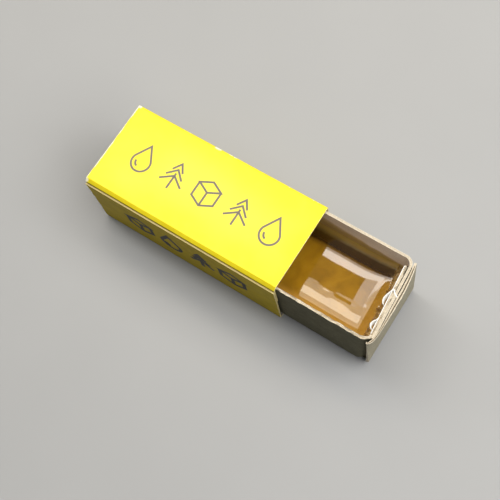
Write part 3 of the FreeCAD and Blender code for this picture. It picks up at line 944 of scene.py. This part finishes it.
def rosin_surface(x, y):
    """Height of the rosin's top and its layers: painted shade where it climbs, golden at the near side,
    broken.
    """
    far = climb(ROSIN_HIGH[1] - y, 0.99 + 0.012 * noise(x, 0 * x, 4.0, 71))
    near = climb(y - ROSIN_LOW[1], 0.98 + 0.03 * noise(x, 0 * x, 3.4, 72))
    rear = climb(x - ROSIN_LOW[0])
    to_crease = CREASE_AT - CREASE_SLOPE * y - x
    dish = DISH_CURVE * np.maximum(DISH_REACH - np.maximum(to_crease, 0), 0) ** 2
    crease_softness = 0.05
    rise = crease_softness * np.logaddexp(0, -to_crease / crease_softness)
    mouth = dish + (0.85 - 0.40 * smooth(y, 3.5, 7.0)) * rise
    height = (far ** BLEND + near ** BLEND + rear ** BLEND + mouth ** BLEND) ** (1 / BLEND)
    jag = 0.35 * ragged(y, 0 * y, 1.1, 73) + 0.12 * noise(y, 0 * y, 0.35, 74)
    beyond = x - lip_x(y) - jag
    broken = smooth(beyond, -0.05, 0.12)
    pit = LEVEL + 1.35 + 0.45 * ragged(x, y, 0.9, 75) + 0.2 * noise(x, y, 0.3, 76)
    band = smooth(y, -5.5, -3.5) * (1 - smooth(y, -2.2, -0.8))
    streaks = 0.010 * band * noise(x * 0.22, y, 0.7, 77) + 0.004 * noise(x, y, 3.0, 78)
    top = LEVEL + height + streaks
    z = top * (1 - broken) + np.minimum(pit + 0.5 * far + 0.5 * near, top) * broken
    climbing = np.maximum(far, rear) / climb(0.0)
    # The climb's painted shade keeps the gold out.
    dark = smooth(climbing, 0.12, 0.30)
    golden = np.maximum(smooth(near, 0.15, 1.0), 0.7 * smooth(mouth, 0.55, 1.2)) * (1 - dark)
    crumbly = np.maximum(broken, 0.5 * smooth(beyond, -0.5, 0))
    return z, {"climb": climbing, "golden": golden, "crumbly": crumbly}


def make_rosin():
    """The cast block: level underneath, rounded at its upright corners and just bedded in the board."""
    corner, bedded = 1.6, 0.03
    contact = 12.5              # about how high it touches the open end's tab
    x0, y0, y1 = ROSIN_LOW[0] - bedded, ROSIN_LOW[1] - bedded, ROSIN_HIGH[1] + bedded
    share = spaced(0, 1, 0.0052, (0.001, 0.003))
    width = spaced(y0, y1, 0.24, (0.05, 0.12))

    def place(s, y, t):
        x1 = tab_face(y, np.full_like(y, contact)) + bedded
        x = x0 + s * (x1 - x0)
        top, layers = rosin_surface(x, y)
        core_x = np.clip(x, x0 + corner, x1 - corner)
        core_y = np.clip(y, y0 + corner, y1 - corner)
        pull = np.minimum(1, corner / np.maximum(np.hypot(x - core_x, y - core_y), 1e-6))
        z = top * (1 - t) + ROSIN_LOW[2] * t
        return np.stack((core_x + (x - core_x) * pull, core_y + (y - core_y) * pull, z), -1), layers

    piece = sheet("rosin_block", share, width, np.array((0.0, 0.5, 1.0)), place, (AMBER,), (0, 0, 0), 50)
    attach(piece, "tray")
    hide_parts("rosin_cake")


def make_crumbs():
    """Broken crumbs along the lip, each a faceted lump."""
    rng = np.random.RandomState(5)
    points, faces = [], []
    count = 34
    first, row = ROSIN_LOW[1] + 1.2, ROSIN_HIGH[1] - ROSIN_LOW[1] - 2.6
    for k in range(count):
        y = first + row * (k + rng.uniform(0.1, 0.9)) / count
        x = lip_x(y) + rng.uniform(-0.05, 1.0)
        size = rng.uniform(0.10, 0.30)
        work = bmesh.new()
        bmesh.ops.create_icosphere(work, subdivisions=2, radius=size)
        shape = np.array([v.co for v in work.verts])
        lumps = noise(shape[:, 0] * 9 + k, shape[:, 1] * 9 + shape[:, 2] * 5, 1.0, 80 + k)
        shape *= 1 + 0.28 * lumps[:, None]
        shape *= np.array((rng.uniform(0.7, 1.3), rng.uniform(0.8, 1.5), rng.uniform(0.5, 0.9)))
        angle = rng.uniform(0, 6.28)
        axis = Vector(rng.uniform(-1, 1, 3)).normalized()
        shape = shape @ np.array(Matrix.Rotation(angle, 3, axis)).T
        ground = float(rosin_surface(np.array([x]), np.array([y]))[0][0])
        start = len(points)
        points += list(shape + (x, y, ground + size * 0.25))
        faces += [tuple(start + v.index for v in f.verts) for f in work.faces]
        work.free()
    piece = make_object("rosin_crumbs", points, faces, (CRUMB,), [0] * len(faces), sharp=22)
    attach(piece, "tray")
    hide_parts("rosin_crust")


# -------- CAD pieces that keep their own shape

def dress(node, material):
    """Gives a CAD node's own mesh a material."""
    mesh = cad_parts[node].data
    mesh.materials.clear()
    mesh.materials.append(material)


def make_carried_over():
    """The tray's flat floor and the thin glue layers."""
    dress("tray_floor", SHADED_GREYBOARD)
    for node in ("sleeve_glue_strip", "mouth_glue_pad", "rear_glue_pad"):
        dress(node, GLUE)


# -------- studio

def aim(obj, place, target, roll=0.0):
    """Puts a camera at a place, looking at a target, turned about its view axis by roll degrees."""
    back = (Vector(place) - Vector(target)).normalized()
    right = Vector((-back.y, back.x, 0)).normalized()
    up = back.cross(right)
    a = math.radians(roll)
    axes = (right * math.cos(a) + up * math.sin(a), up * math.cos(a) - right * math.sin(a), back)
    obj.matrix_world = Matrix.Translation(place) @ Matrix(axes).transposed().to_4x4()


def direction(azimuth, elevation):
    """A unit vector from the object, azimuth measured from +X towards +Y."""
    a, e = math.radians(azimuth), math.radians(elevation)
    return Vector((math.cos(e) * math.cos(a), math.cos(e) * math.sin(a), math.sin(e)))


LIGHTS_ABOVE = 0.5          # metres from the rosin up to the lights
WARM = (1.0, 0.91, 0.75)


def softbox(name, x, y, radiance, colour=(1, 1, 1)):
    """A level rectangular light from x[0] to x[1] and y[0] to y[1], in metres from the middle of the tray's
    open part."""
    data = bpy.data.lights.new(name, "AREA")
    data.shape = "RECTANGLE"
    data.size, data.size_y = x[1] - x[0], y[1] - y[0]
    data.energy = radiance * math.pi * data.size * data.size_y
    data.color = colour
    light = bpy.data.objects.new(name, data)
    bpy.context.scene.collection.objects.link(light)
    middle = (TOP_HIGH[0] + FLOOR_END) / 2 * MM
    light.location = (middle + (x[0] + x[1]) / 2, (y[0] + y[1]) / 2, LEVEL * MM + LIGHTS_ABOVE)


def make_floor():
    """A wide grey floor under the sleeve."""
    bpy.ops.mesh.primitive_plane_add(size=1.6, location=(0, 0, 0))
    floor = bpy.context.object
    floor.name = "studio_floor"
    floor.data.materials.append(studio_floor())


def make_world():
    """A faint, even sky."""
    scene = bpy.context.scene
    world = bpy.data.worlds.new("studio_world")
    world.use_nodes = True
    world.node_tree.nodes["Background"].inputs["Color"].default_value = (0.90, 0.95, 1.0, 1)
    world.node_tree.nodes["Background"].inputs["Strength"].default_value = 0.10
    scene.world = world
    scene.view_settings.view_transform = "Standard"


def make_lights():
    """Softboxes for the rosin's reflections, some in a dimmer and wider halo, and two for the board."""
    softbox("overhead_box", (-0.42, 0.36), (0.0, 0.085), 4.8, (1.0, 0.985, 0.96))
    softbox("overhead_halo", (-0.45, 0.30), (-0.045, 0.085), 1.6)
    softbox("side_box", (0.38, 0.90), (-0.30, 0.30), 4.6)
    softbox("back_box", (0.12, 0.60), (0.10, 0.45), 4.2)
    softbox("far_box", (-0.40, 0.08), (0.167, 0.27), 4.8, WARM)
    softbox("far_halo", (-0.60, 0.12), (0.142, 0.46), 1.8, WARM)
    softbox("rear_box", (-0.85, -0.345), (0.05, 0.167), 4.4, (1.0, 0.97, 0.92))
    softbox("rear_halo", (-1.50, -0.17), (-0.05, 0.142), 1.9)
    softbox("spark_box", (-0.86, -0.72), (-0.18, -0.06), 14.0)


def make_camera():
    """A close camera, high above the open end's near corner."""
    camera = bpy.data.objects.new("camera", bpy.data.cameras.new("camera"))
    bpy.context.scene.collection.objects.link(camera)
    camera.data.sensor_width = 36
    camera.data.lens = 63
    camera.data.clip_start = 0.01
    azimuth, elevation, distance, roll = -39.14, 69.04, 0.21276, -18.97
    target = Vector((13.82, -3.27, 10.0)) * MM
    aim(camera, target + direction(azimuth, elevation) * distance, target, roll)
    bpy.context.scene.camera = camera


make_sleeve()
make_print()
make_walls()
make_mouth_flap()
make_rear_flap()
make_paper()
make_rosin()
make_crumbs()
make_carried_over()
make_floor()
make_world()
make_lights()
make_camera()
